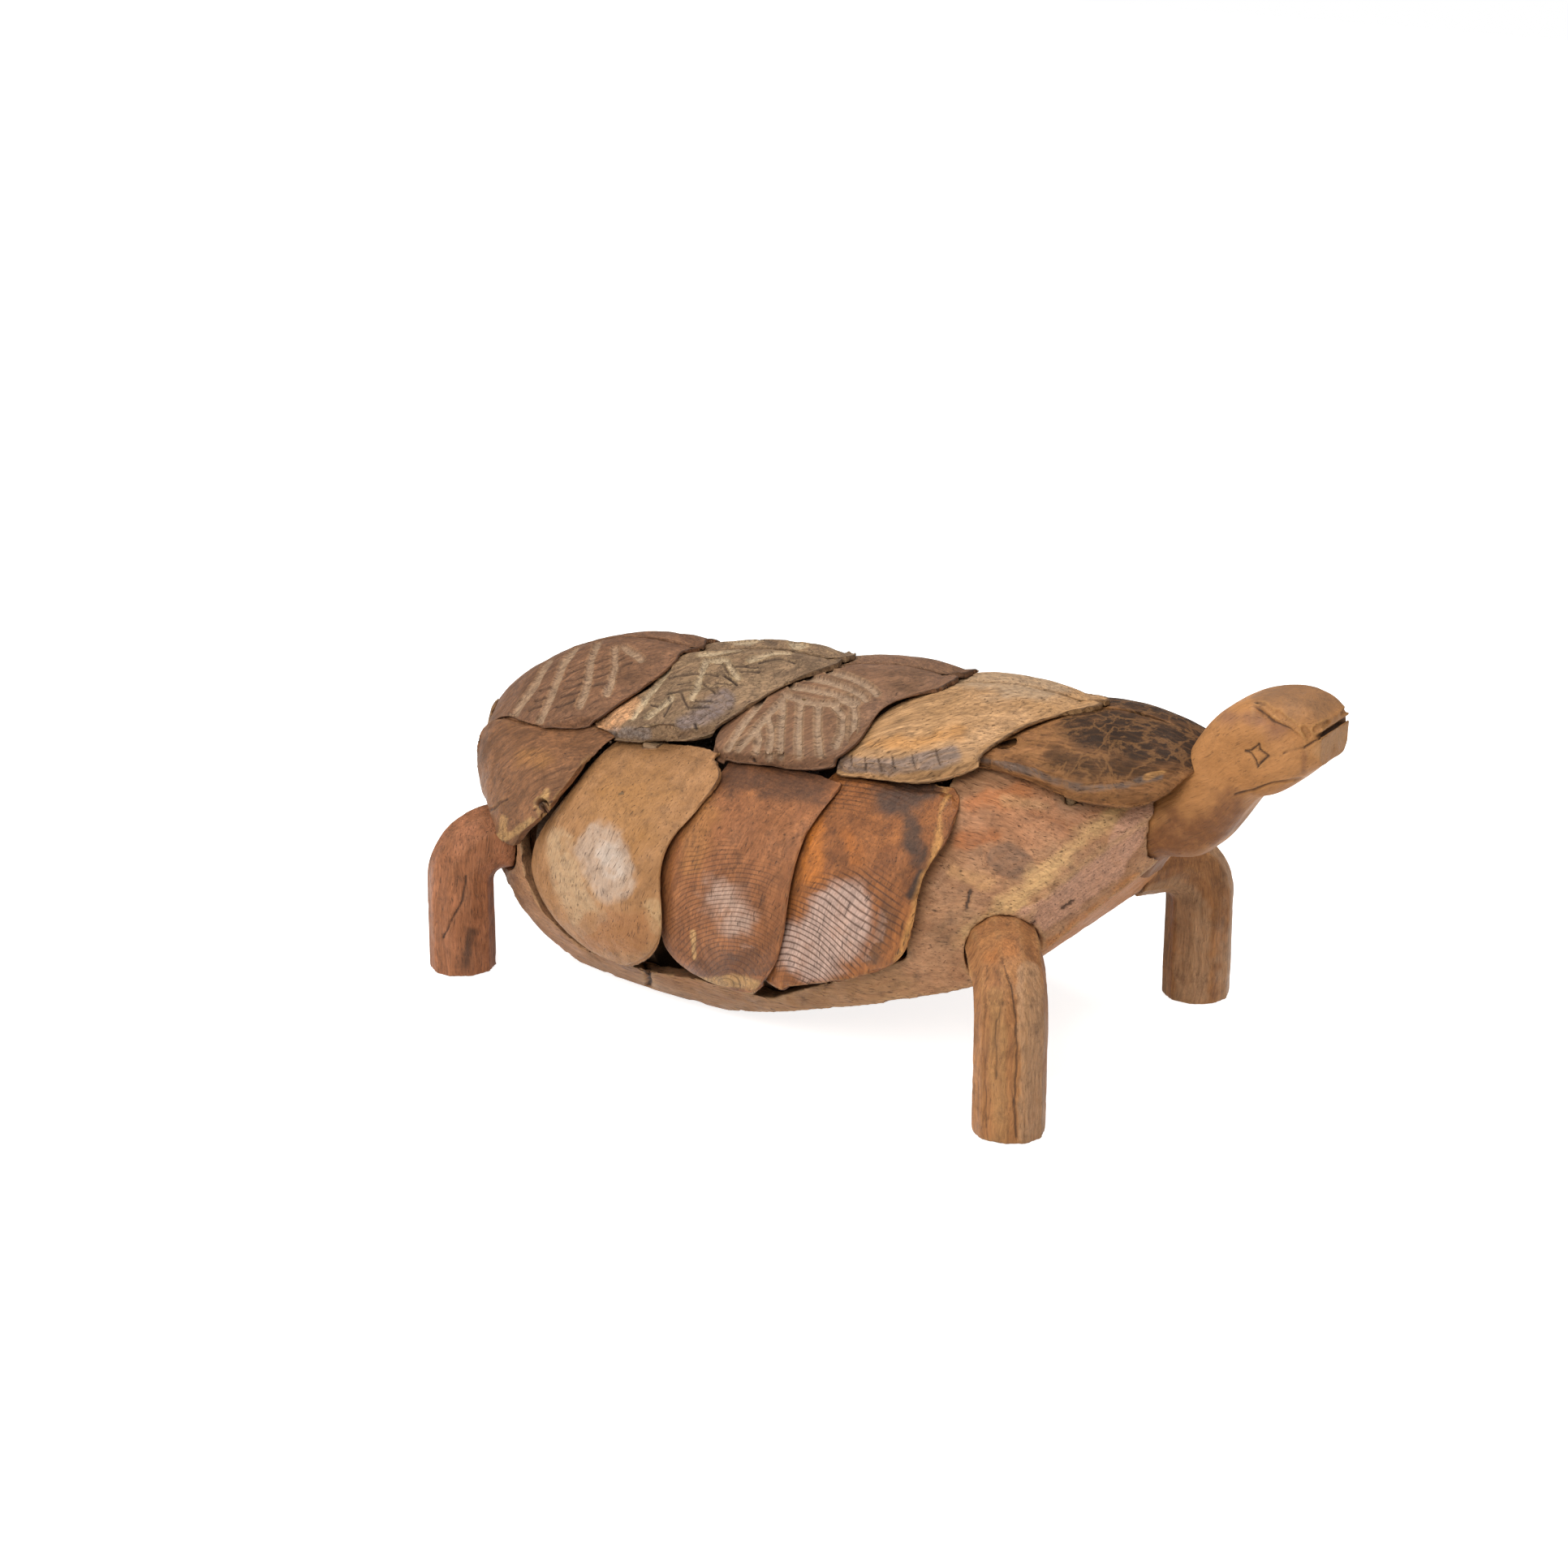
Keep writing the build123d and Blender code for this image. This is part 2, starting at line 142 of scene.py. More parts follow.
# pairs of joined vertices, and how many joins each vertex has
def joins(mesh):
    ends = np.empty(len(mesh.edges) * 2, np.int32)
    mesh.edges.foreach_get("vertices", ends)
    ends = ends.reshape(-1, 2)
    both = np.concatenate((ends, ends[:, ::-1]))
    return both, np.maximum(np.bincount(both[:, 0], minlength=len(mesh.vertices)), 1)


# values averaged over the mesh, one join further in each round
def spread(values, links, rounds):
    both, count = links
    for _ in range(rounds):
        values = np.bincount(both[:, 0], values[both[:, 1]], len(count)) / count
    return values


# how far each vertex stands out from those around it, 1 on a sharp edge and -1 in a corner
def standOut(points, normals, links, reach):
    mean = np.stack([spread(points[:, axis], links, 6) for axis in range(3)], 1)
    return np.clip(np.sum((points - mean) * normals, axis=1) / reach, -1, 1)


# a crack this deep looks black
blackCrack = 0.003
mirrorSeed = 50            # gives the left side random wear of its own
strayCell = 0.012          # metres between the places where a hand-cut stroke strays
edgeReach = 0.0016         # metres that a sharp edge stands out before it is worn
wearReach = 0.0012         # and after
rimRounds = 240            # joins of the mesh that a plank's crown reaches in from its rim
rimShare = 0.13            # share of edge, spread that far, at which the rim drops in full


# cuts the strokes, wear and hewing of one piece into its mesh, and leaves the masks for its wood
def carve(piece, look, flip):
    mesh = piece.data
    points, normals = readMesh(mesh)
    side = np.where(points[:, 1] > 0, -1.0, 1.0) if flip == 0 else np.full(len(points), float(flip))
    turn = np.stack((np.ones(len(points)), side, np.ones(len(points))), 1)
    seen = points * turn
    pixels = toPhoto(seen)
    towards = np.array(viewer["place"]) - seen
    towards /= np.linalg.norm(towards, axis=1)[:, None]
    facing = ease(np.sum(normals * turn * towards, axis=1), 0.0, 0.25)
    seed = look["seed"] + (mirrorSeed if flip < 0 else 0)

    along = np.array(look["grain"], float)
    along /= np.linalg.norm(along)
    across = np.cross(along, (0.31, -0.83, 0.46))
    across /= np.linalg.norm(across)
    grain = seen @ np.stack((along, across, np.cross(along, across)), 1) + seed * 0.217

    # growth rings run round the pith of the log that the piece was split from
    pithRun = np.array(look.get("pithRun", look["grain"]), float)
    pithRun /= np.linalg.norm(pithRun)
    fromPith = seen - np.array(look.get("pith", seen.mean(axis=0) + (0.03, 0.12, -0.05)))
    fromPith -= (fromPith @ pithRun)[:, None] * pithRun
    ringRun = np.linalg.norm(fromPith, axis=1)
    ringRun += 0.011 * cellNoise(seen, 0.075, seed + 10) + 0.0022 * cellNoise(seen, 0.024, seed + 11)

    depth = np.zeros(len(points))
    groove = np.zeros(len(points))
    crack = np.zeros(len(points))
    wander = np.stack((cellNoise(seen, strayCell, seed + 1), cellNoise(seen, strayCell, seed + 2)), 1)
    for halfWidth, deep, strokes in look.get("cuts", ()):
        marked = pixels + max(0.9, 0.22 * halfWidth) * wander
        for stroke in strokes:
            bite = np.clip(2.6 - 2.6 * (strokeDistance(marked, stroke) / halfWidth) ** 2, 0, 1) * facing
            depth = np.maximum(depth, deep * bite)
            groove = np.maximum(groove, bite)
    for halfWidth, deep, strokes in look.get("cracks", ()):
        for stroke in strokes:
            reach = strokeDistance(pixels + 1.3 * wander, stroke) / halfWidth
            bite = np.clip(1.15 - reach ** 2, 0, 1) * facing
            depth = np.maximum(depth, deep * bite)
            crack = np.maximum(crack, bite * min(1, deep / blackCrack))
    crack *= 0.6 + 0.4 * cellNoise(seen, 0.007, seed + 12)
    # a swell fills the seam where a post was driven into its socket
    for halfWidth, high, stroke in look.get("swells", ()):
        depth -= high * (1 - ease(strokeDistance(pixels, stroke), 0.3 * halfWidth, halfWidth)) * facing
    # a ledge drops at once below its stroke and fades out further down
    for fade, deep, stroke in look.get("ledges", ()):
        across, down = np.array(stroke, float).T
        below = pixels[:, 1] - np.interp(pixels[:, 0], across, down)
        begins = ease(pixels[:, 0], across[0], across[0] + 12)
        stops = ease(pixels[:, 0], across[-1] - 20, across[-1] + 2)
        bite = ease(below, -1, 2.5) * (1 - ease(below, 6, fade)) * (begins * (1 - stops)) * facing
        depth = np.maximum(depth, deep * bite)

    # each pull draws the outline to the photograph's: what is near one pixel moves to another, along the face
    if "pulls" in look:
        face = (normals * turn)[facing > 0.9].mean(axis=0)
        ways = np.linalg.inv(np.stack((cameraTurn[:, 0], cameraTurn[:, 1], face / np.linalg.norm(face))))
        shift = np.zeros((len(points), 2))
        total = np.full(len(points), 0.35)
        for start, finish in look["pulls"]:
            gap = np.linalg.norm(pixels - np.array(start, float), axis=1) / look["pullReach"]
            weight = np.exp(-gap ** 2)
            shift += weight[:, None] * (np.array(finish, float) - np.array(start, float)) * pixelSize
            total += weight
        shift *= (1, -1) / np.maximum(total, 1)[:, None]
        points += shift @ ways[:, :2].T * turn
    # planks are rounded over towards their rims, on the outside
    links = joins(mesh)
    edge = np.clip(standOut(points, normals, links, edgeReach), 0, 1)
    if "crown" in look:
        away = points * (0, 1, 1) - (0, 0, 0.2)
        away /= np.linalg.norm(away, axis=1)[:, None]
        outer = ease(spread(np.sum(normals * away, axis=1), links, 20), -0.5, 0.5)
        drop = look["crown"] * np.clip(spread(edge, links, rimRounds) / rimShare, 0, 1) * outer
        points -= away * drop[:, None]
    hewSize, hewDepth = look.get("hew", (0.035, 0.0012))
    depth += hewDepth * (0.5 + 0.5 * cellNoise(seen, hewSize, seed + 3))
    depth += 0.4 * hewDepth * (0.5 + 0.5 * cellNoise(seen, hewSize * 0.4, seed + 4))
    fibreDepth = look.get("fibre", 0.0004)
    depth += fibreDepth * (0.5 + 0.5 * cellNoise(grain, (0.07, 0.006, 0.006), seed + 5))
    chipDepth = look.get("chip", 0.003)
    chips = ease(cellNoise(seen, 0.016, seed + 6) + 0.5 * cellNoise(seen, 0.007, seed + 7), 0.15, 0.75) * edge
    depth += chipDepth * chips
    points -= normals * depth[:, None]
    mesh.vertices.foreach_set("co", points.astype(np.float32).ravel())
    mesh.update()
    points, normals = readMesh(mesh)
    wear = standOut(points, normals, links, wearReach) * (1 - groove)

    paint = np.zeros((len(points), 4))
    blur = cellNoise(seen, 0.02, seed + 8) + 0.6 * cellNoise(seen, 0.008, seed + 9)
    for colour, strength, halfWidth, soft, stroke in look.get("paint", ()):
        reach = strokeDistance(pixels, stroke) + max(0.9 * soft, 0.25 * halfWidth) * blur
        weight = strength * (1 - ease(reach, halfWidth - soft, halfWidth + soft))
        share = np.where(paint[:, 3] > 0, weight, 1) * (weight > 0)
        paint[:, :3] += (np.array(toLinear(colour)[:3]) - paint[:, :3]) * share[:, None]
        paint[:, 3] = np.maximum(paint[:, 3], weight)

    ringed = np.full(len(points), look.get("ringBase", 1.0))
    for strength, halfWidth, soft, stroke in look.get("ringZones", ()):
        reach = strokeDistance(pixels, stroke) + 0.6 * soft * blur
        ringed = np.maximum(ringed, strength * (1 - ease(reach, halfWidth - soft, halfWidth + soft)))
    marks = [("groove", "FLOAT", "value", groove), ("crack", "FLOAT", "value", crack),
             ("wear", "FLOAT", "value", wear), ("ringRun", "FLOAT", "value", ringRun),
             ("ringed", "FLOAT", "value", ringed), ("grain", "FLOAT_VECTOR", "vector", grain),
             ("paint", "FLOAT_COLOR", "color", paint)]
    for name, kind, field, values in marks:
        mesh.attributes.new(name, kind, "POINT").data.foreach_set(field, values.astype(np.float32).ravel())
    mesh.shade_smooth()


def addNode(tree, kind, settings=(), values=(), links=()):
    node = tree.nodes.new(kind)
    for name, value in dict(settings).items():
        setattr(node, name, value)
    for socket, value in dict(values).items():
        node.inputs[socket].default_value = value
    for socket, (source, output) in dict(links).items():
        tree.links.new(source.outputs[output], node.inputs[socket])
    return node


colourMix = {"data_type": "RGBA"}
product = {"operation": "MULTIPLY"}
productSum = {"operation": "MULTIPLY_ADD"}
# counts in a metre, along the grain and twice across it
bandCount = (5, 70, 70)          # colour bands 200 mm long and 14 mm wide
fibreCount = (20, 330, 330)      # fibre bundles 50 mm long and 3 mm wide
poreCount = (70, 640, 640)       # open pores and flecks 14 mm long and 1.5 mm wide
stainCount = 20                  # stains 50 mm across
grimeCount = 70                  # grime 14 mm across


# old hardwood, hewn with adze and gouge, weathered outdoors, then scrubbed and waxed
def woodMaterial(name, look, masked=True):
    material = bpy.data.materials.new(name)
    material.use_nodes = True
    tree = material.node_tree
    tree.nodes.clear()
    dirt = toLinear(look.get("dirt", "38261a"))
    late = toLinear(look["late"])
    if masked:
        coords = (addNode(tree, "ShaderNodeAttribute", {"attribute_name": "grain"}), "Vector")
    else:
        coords = (addNode(tree, "ShaderNodeTexCoord"), "Object")
    # fibres wander by about 10 mm
    wobble = addNode(tree, "ShaderNodeTexNoise", {}, {"Scale": 16, "Detail": 3}, {"Vector": coords})
    bent = addNode(tree, "ShaderNodeVectorMath", productSum, {1: (0.02, 0.02, 0.02)},
                   {0: (wobble, "Color"), 2: coords})
    bandMap = addNode(tree, "ShaderNodeMapping", {}, {"Scale": bandCount}, {"Vector": (bent, 0)})
    bands = addNode(tree, "ShaderNodeTexNoise", {}, {"Scale": 1, "Detail": 4}, {"Vector": (bandMap, 0)})
    bandMask = addNode(tree, "ShaderNodeMapRange", {},
                       {"From Min": 0.4, "From Max": 0.64, "To Max": look.get("bandShare", 0.6)},
                       {"Value": (bands, "Fac")})
    fibreMap = addNode(tree, "ShaderNodeMapping", {}, {"Scale": fibreCount}, {"Vector": (bent, 0)})
    fibre = addNode(tree, "ShaderNodeTexNoise", {}, {"Scale": 1, "Detail": 4, "Roughness": 0.7},
                    {"Vector": (fibreMap, 0)})
    fibreTone = addNode(tree, "ShaderNodeMapRange", {},
                        {"From Min": 0.34, "From Max": 0.66, "To Min": 0.42, "To Max": 1.4},
                        {"Value": (fibre, "Fac")})
    poreMap = addNode(tree, "ShaderNodeMapping", {}, {"Scale": poreCount}, {"Vector": (bent, 0)})
    pores = addNode(tree, "ShaderNodeTexNoise", {}, {"Scale": 1, "Detail": 2}, {"Vector": (poreMap, 0)})
    poreMask = addNode(tree, "ShaderNodeMapRange", {},
                       {"From Min": 0.6, "From Max": 0.72, "To Max": look.get("poreShare", 0.75)},
                       {"Value": (pores, "Fac")})
    blotch = addNode(tree, "ShaderNodeTexNoise", {},
                     {"Scale": stainCount, "Detail": 6, "Roughness": 0.65, "Distortion": 0.6},
                     {"Vector": coords})
    stainMask = addNode(tree, "ShaderNodeMapRange", {},
                        {"From Min": 0.44, "From Max": 0.66, "To Max": look.get("stainShare", 0.7)},
                        {"Value": (blotch, "Fac")})
    grime = addNode(tree, "ShaderNodeTexNoise", {}, {"Scale": grimeCount, "Detail": 7, "Roughness": 0.75},
                    {"Vector": coords})
    grimeMask = addNode(tree, "ShaderNodeMapRange", {},
                        {"From Min": 0.5, "From Max": 0.7, "To Max": look.get("grimeShare", 0.5)},
                        {"Value": (grime, "Fac")})

    wood = addNode(tree, "ShaderNodeMix", colourMix, {6: toLinear(look["early"]), 7: late},
                   {0: (bandMask, 0)})
    wood = addNode(tree, "ShaderNodeMix", colourMix, {7: toLinear(look["stain"])},
                   {0: (stainMask, 0), 6: (wood, 2)})
    height = fibre
    if masked:
        paint = addNode(tree, "ShaderNodeAttribute", {"attribute_name": "paint"})
        breakUp = addNode(tree, "ShaderNodeMapRange", {}, {"From Min": 0.34, "From Max": 0.5, "To Min": 0.6},
                          {"Value": (grime, "Fac")})
        paintMask = addNode(tree, "ShaderNodeMath", product, {}, {0: (paint, "Alpha"), 1: (breakUp, 0)})
        wood = addNode(tree, "ShaderNodeMix", colourMix, {},
                       {0: (paintMask, 0), 6: (wood, 2), 7: (paint, "Color")})
        ringRun = addNode(tree, "ShaderNodeAttribute", {"attribute_name": "ringRun"})
        turns = addNode(tree, "ShaderNodeMath", product, {1: 2 * math.pi / look.get("ringGap", 0.0042)},
                        {0: (ringRun, "Fac")})
        wave = addNode(tree, "ShaderNodeMath", {"operation": "SINE"}, {}, {0: (turns, 0)})
        lines = addNode(tree, "ShaderNodeMapRange", {},
                        {"From Min": 0.35, "From Max": 1.0, "To Max": look.get("ringShare", 0.5)},
                        {"Value": (wave, 0)})
        ringed = addNode(tree, "ShaderNodeAttribute", {"attribute_name": "ringed"})
        ringMask = addNode(tree, "ShaderNodeMath", product, {}, {0: (lines, 0), 1: (ringed, "Fac")})
        wood = addNode(tree, "ShaderNodeMix", colourMix, {7: toLinear(look.get("ringTone", look["late"]))},
                       {0: (ringMask, 0), 6: (wood, 2)})
        height = addNode(tree, "ShaderNodeMath", productSum, {1: -0.5}, {0: (ringMask, 0), 2: (fibre, "Fac")})
        wear = addNode(tree, "ShaderNodeAttribute", {"attribute_name": "wear"})
        wearMask = addNode(tree, "ShaderNodeMapRange", {},
                           {"From Min": 0.15, "From Max": 0.8, "To Max": look.get("wearShare", 0.55)},
                           {"Value": (wear, "Fac")})
        wood = addNode(tree, "ShaderNodeMix", colourMix, {7: toLinear(look.get("worn", "b08a5c"))},
                       {0: (wearMask, 0), 6: (wood, 2)})
        # darker in hollows and inside corners, by up to three quarters
        hollowMask = addNode(tree, "ShaderNodeMapRange", {},
                           {"From Min": -0.12, "From Max": -0.7, "To Max": 0.75},
                           {"Value": (wear, "Fac")})
        wood = addNode(tree, "ShaderNodeMix", colourMix, {7: dirt}, {0: (hollowMask, 0), 6: (wood, 2)})
        groove = addNode(tree, "ShaderNodeAttribute", {"attribute_name": "groove"})
        grooveShare = addNode(tree, "ShaderNodeMapRange", {}, {"To Max": look.get("grooveShare", 0.95)},
                              {"Value": (groove, "Fac")})
        grooveMask = addNode(tree, "ShaderNodeMath", product, {}, {0: (grooveShare, 0), 1: (breakUp, 0)})
        wood = addNode(tree, "ShaderNodeMix", colourMix, {7: toLinear(look.get("pale", "a98a66"))},
                       {0: (grooveMask, 0), 6: (wood, 2)})
    wood = addNode(tree, "ShaderNodeMix", {"data_type": "RGBA", "blend_type": "MULTIPLY"},
                   {0: look.get("fibreShare", 0.6)},
                   {6: (wood, 2), 7: (fibreTone, 0)})
    wood = addNode(tree, "ShaderNodeMix", colourMix, {7: dirt}, {0: (grimeMask, 0), 6: (wood, 2)})
    wood = addNode(tree, "ShaderNodeMix", colourMix, {7: dirt}, {0: (poreMask, 0), 6: (wood, 2)})
    if "crackle" in look:
        tint, share, cell = look["crackle"]
        tangled = addNode(tree, "ShaderNodeVectorMath", productSum, {1: (0.07, 0.07, 0.07)},
                          {0: (blotch, "Color"), 2: coords})
        net = addNode(tree, "ShaderNodeTexVoronoi", {"feature": "DISTANCE_TO_EDGE"}, {"Scale": 1 / cell},
                      {"Vector": (tangled, 0)})
        netMask = addNode(tree, "ShaderNodeMapRange", {},
                          {"From Min": 0.09, "From Max": 0.01, "To Max": share},
                          {"Value": (net, "Distance")})
        netBreak = addNode(tree, "ShaderNodeMath", product, {}, {0: (netMask, 0), 1: (breakUp, 0)})
        wood = addNode(tree, "ShaderNodeMix", colourMix, {7: toLinear(tint)},
                       {0: (netBreak, 0), 6: (wood, 2)})
    if masked:
        crack = addNode(tree, "ShaderNodeAttribute", {"attribute_name": "crack"})
        wood = addNode(tree, "ShaderNodeMix", colourMix, {7: toLinear("1d130c")},
                       {0: (crack, "Fac"), 6: (wood, 2)})

    pitted = addNode(tree, "ShaderNodeMath", productSum, {1: -0.6}, {0: (poreMask, 0), 2: (height, 0)})
    rough = addNode(tree, "ShaderNodeMath", productSum, {1: 0.6}, {0: (grime, "Fac"), 2: (pitted, 0)})
    bump = addNode(tree, "ShaderNodeBump", {}, {"Strength": look.get("bump", 0.6), "Distance": 0.0016},
                   {"Height": (rough, 0)})
    gloss = addNode(tree, "ShaderNodeMapRange", {},
                    {"From Min": 0.3, "From Max": 0.7, "To Min": look.get("waxed", 0.45), "To Max": 0.75},
                    {"Value": (blotch, "Fac")})
    surface = addNode(tree, "ShaderNodeBsdfPrincipled", {},
                      {"IOR": 1.5, "Metallic": 0, "Specular IOR Level": look.get("shine", 0.3)},
                      {"Base Color": (wood, 2), "Roughness": (gloss, 0), "Normal": (bump, 0)})
    addNode(tree, "ShaderNodeOutputMaterial", {}, {}, {"Surface": (surface, 0)})
    return material


def makePiece(node, look, material, flip):
    piece = knitCopy(node, look["voxel"], look["smooth"])
    carve(piece, look, flip)
    piece.data.materials.append(material)
    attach(piece, "root")
    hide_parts(node)


# the photographed side is the right: the left mirrors it
def makePair(name, look):
    material = woodMaterial(camelName(name) + "Wood", look)
    for flip, hand in ((1, "right"), (-1, "left")):
        makePiece(hand + "_" + name, look, material, flip)
    print("stage:", name, "carved")


def makeMiddle(node, look):
    makePiece(node, look, woodMaterial(camelName(node) + "Wood", look), 0)
    print("stage:", node, "carved")


# rearmost upper scute: a dark plank with long gouged ribs and fine hatching between them
upperFirst = dict(
    slot="upper_scute_wood", voxel=0.0013, smooth=24, crown=0.007, seed=11, grain=(0.72, 0.42, 0.55),
    early="8d6345", late="6d4a31", stain="64442c", pale="a6876a", worn="a8825e", ringShare=0.3,
    cuts=[(4.6, 0.003, [[(676, 811), (659, 840), (637, 870), (617, 902)],
                        [(711, 790), (693, 816), (682, 845), (671, 870), (661, 887)],
                        [(736, 786), (727, 813), (723, 838), (718, 856), (712, 868)],
                        [(757, 797), (757, 820), (752, 838), (746, 852)],
                        [(768, 795), (789, 810)]])],
    cracks=[(1.8, 0.0014, [[(700, 820), (718, 813)], [(697, 829), (720, 820)], [(696, 838), (718, 832)],
                           [(694, 848), (716, 840)], [(690, 858), (712, 850)], [(684, 870), (706, 862)],
                           [(733, 815), (752, 806)], [(731, 823), (752, 815)], [(730, 833), (750, 826)],
                           [(728, 843), (747, 838)], [(762, 812), (776, 806)], [(761, 820), (778, 815)],
                           [(664, 850), (676, 845)], [(658, 862), (670, 858)], [(650, 874), (664, 868)]])],
    crackle=("4a3022", 0.45, 0.011), hew=(0.02, 0.0014), chip=0.003)
makePair("upper_first_scute", upperFirst)

# second upper scute: grey weathered plank, cross-cut all over, with one fresh bevel at its rear tip
upperSecond = dict(
    slot="upper_scute_wood", voxel=0.0013, smooth=18, crown=0.007, seed=12, grain=(0.72, 0.42, 0.55),
    early="9c7d5c", late="765a42", stain="654f3a", pale="bfa684", worn="b0946a", ringShare=0.3,
    cuts=[(3.8, 0.0028, [[(823, 822), (800, 852), (777, 883)], [(869, 811), (861, 835), (852, 858)],
                         [(873, 811), (894, 811), (909, 834)], [(796, 881), (827, 858)],
                         [(923, 811), (950, 801), (972, 799)], [(862, 803), (911, 794)]])],
    cracks=[(1.8, 0.0017, [[(865, 821), (881, 815), (892, 818), (898, 828)],
                           [(823, 832), (854, 828), (884, 831)],
                          [(821, 853), (858, 845), (883, 845)], [(816, 881), (827, 862)],
                          [(854, 862), (877, 862)], [(846, 870), (872, 869)], [(800, 866), (812, 868)],
                          [(934, 814), (961, 809), (978, 814)], [(884, 805), (948, 792)],
                          [(834, 840), (850, 838)],
                          [(905, 818), (932, 820)], [(912, 826), (934, 826)], [(880, 838), (900, 842)],
                          [(862, 838), (880, 852)], [(838, 850), (846, 872)]]),
            (2.0, 0.0025, [[(893, 830), (908, 842)], [(823, 857), (824, 860)], [(853, 890), (854, 897)]])],
    paint=[("d09a6c", 1.0, 15, 2, [(744, 888), (776, 868)]),
           ("8d8078", 0.7, 7, 4, [(758, 900), (790, 902)]),
           ("7a6a66", 0.8, 11, 4, [(842, 890), (868, 878), (892, 856)])],
    crackle=("43301f", 0.6, 0.011), hew=(0.018, 0.002), chip=0.006)
makePair("upper_second_scute", upperSecond)

# third upper scute: ribs below and nested chevrons above, cut with a broad gouge
upperThird = dict(
    slot="upper_scute_wood", voxel=0.0013, smooth=24, crown=0.007, seed=13, grain=(0.72, 0.42, 0.55),
    early="8b6447", late="6c4b35", stain="65472f", pale="a98c70", worn="a58462", ringShare=0.25,
    cuts=[(4.2, 0.0034, [[(948, 844), (924, 879), (894, 920)], [(964, 860), (932, 894), (907, 921)],
                         [(931, 897), (933, 909), (929, 925)],
                         [(946, 884), (949, 901), (944, 932)], [(964, 864), (961, 894), (959, 931)],
                         [(985, 864), (983, 896), (981, 931)], [(1007, 868), (1007, 897), (1008, 927)],
                         [(1027, 868), (1038, 879), (1035, 901), (1027, 916)],
                         [(966, 853), (981, 859), (1003, 864), (1031, 866)],
                         [(1036, 860), (1051, 866), (1053, 879), (1047, 908)],
                         [(974, 843), (1000, 848), (1027, 853), (1056, 863)],
                         [(990, 831), (1020, 837), (1047, 846), (1066, 858)],
                         [(1020, 824), (1047, 832), (1066, 841), (1079, 851)],
                         [(962, 842), (988, 825), (1014, 816)], [(983, 834), (1006, 822), (1036, 815)]])],
    cracks=[(2.0, 0.002, [[(926, 934), (928, 940)], [(1009, 924), (1011, 930)]])],
    crackle=("553a2b", 0.3, 0.009), chip=0.003)
makePair("upper_third_scute", upperThird)

# fourth upper scute: a plain tan plank, split along the grain, with a grey sawn edge below
upperFourth = dict(
    slot="upper_scute_wood", voxel=0.0016, smooth=16, crown=0.007, seed=14, grain=(0.8, 0.35, 0.48),
    early="bb9064", late="977048", stain="a57c50", worn="b58d60", ringShare=0.3, stainShare=0.45,
    grimeShare=0.4,
    fibreShare=0.75, poreShare=0.85, dirt="4a3018",
    cracks=[(1.8, 0.0012, [[(1070, 918), (1082, 908)], [(1045, 926), (1044, 940)], [(1063, 930), (1062, 946)],
                           [(1080, 932), (1082, 948)], [(1098, 930), (1100, 946)], [(1122, 928), (1126, 944)],
                           [(1152, 922), (1156, 938)]])],
    paint=[("877265", 0.9, 12, 3, [(1034, 938), (1100, 942), (1150, 934), (1170, 926)]),
           ("c4894a", 0.6, 8, 6, [(1070, 914), (1120, 916), (1180, 902)]),
           ("b09a80", 0.5, 14, 10, [(1180, 830), (1290, 845)])],
    chip=0.004)
makePair("upper_fourth_scute", upperFourth)

# foremost upper scute: a charred middle with an orange rim
upperFifth = dict(
    slot="upper_scute_wood", voxel=0.0016, smooth=16, crown=0.007, seed=15, grain=(0.9, 0.15, -0.1),
    early="976841", late="6b4626", stain="4a2f1a", worn="b07a42", ringShare=0.25, stainShare=0.6, shine=0.15,
    cracks=[(7, 0.006, [[(1235, 911), (1243, 909)]])],
    paint=[("2a1c12", 0.95, 34, 12, [(1340, 890), (1400, 905), (1450, 925)]),
           ("3a2717", 0.8, 16, 10, [(1300, 935), (1350, 950), (1410, 955)]),
           ("6f625a", 0.8, 5, 3, [(1200, 938), (1280, 955), (1330, 969), (1390, 979), (1430, 974)]),
           ("c79257", 0.8, 5, 2, [(1418, 972), (1432, 966)])],
    pulls=[((1206, 957), (1206, 940)), ((1250, 968), (1249, 958)), ((1320, 986), (1320, 986)),
           ((1385, 1004), (1380, 986)),
           ((1438, 1015), (1430, 977)), ((1475, 985), (1472, 955)), ((1462, 922), (1480, 918)),
           ((1400, 900), (1400, 900)), ((1300, 890), (1300, 890)),
           ((1240, 905), (1240, 908))], pullReach=44,
    crackle=("9a6c40", 0.4, 0.03), chip=0.004)
makePair("upper_fifth_scute", upperFifth)

# rearmost lower scute: a chipped leaf of dark wood
lowerFirst = dict(
    slot="lower_scute_wood", voxel=0.0016, smooth=10, crown=0.003, seed=21, grain=(0.75, 0.2, 0.6),
    early="946440", late="6a4527", stain="583a25", worn="b08a58", ringShare=0.3,
    cracks=[(6.5, 0.011, [[(672, 1006), (664, 990)]]),
            (2.0, 0.0014, [[(655, 1000), (668, 990), (676, 988)], [(600, 1000), (622, 985)]])],
    paint=[("bf955f", 0.8, 5, 2, [(600, 1036), (628, 1030), (652, 1012)]),
           ("c79a62", 0.85, 3, 2, [(662, 996), (672, 975)]),
           ("c0935c", 0.7, 5, 2, [(618, 1010), (616, 1028)]),
           ("a8733c", 0.5, 10, 8, [(640, 930), (670, 935)])],
    crackle=("4d3220", 0.3, 0.014), hew=(0.02, 0.0018), chip=0.007)
makePair("lower_first_scute", lowerFirst)
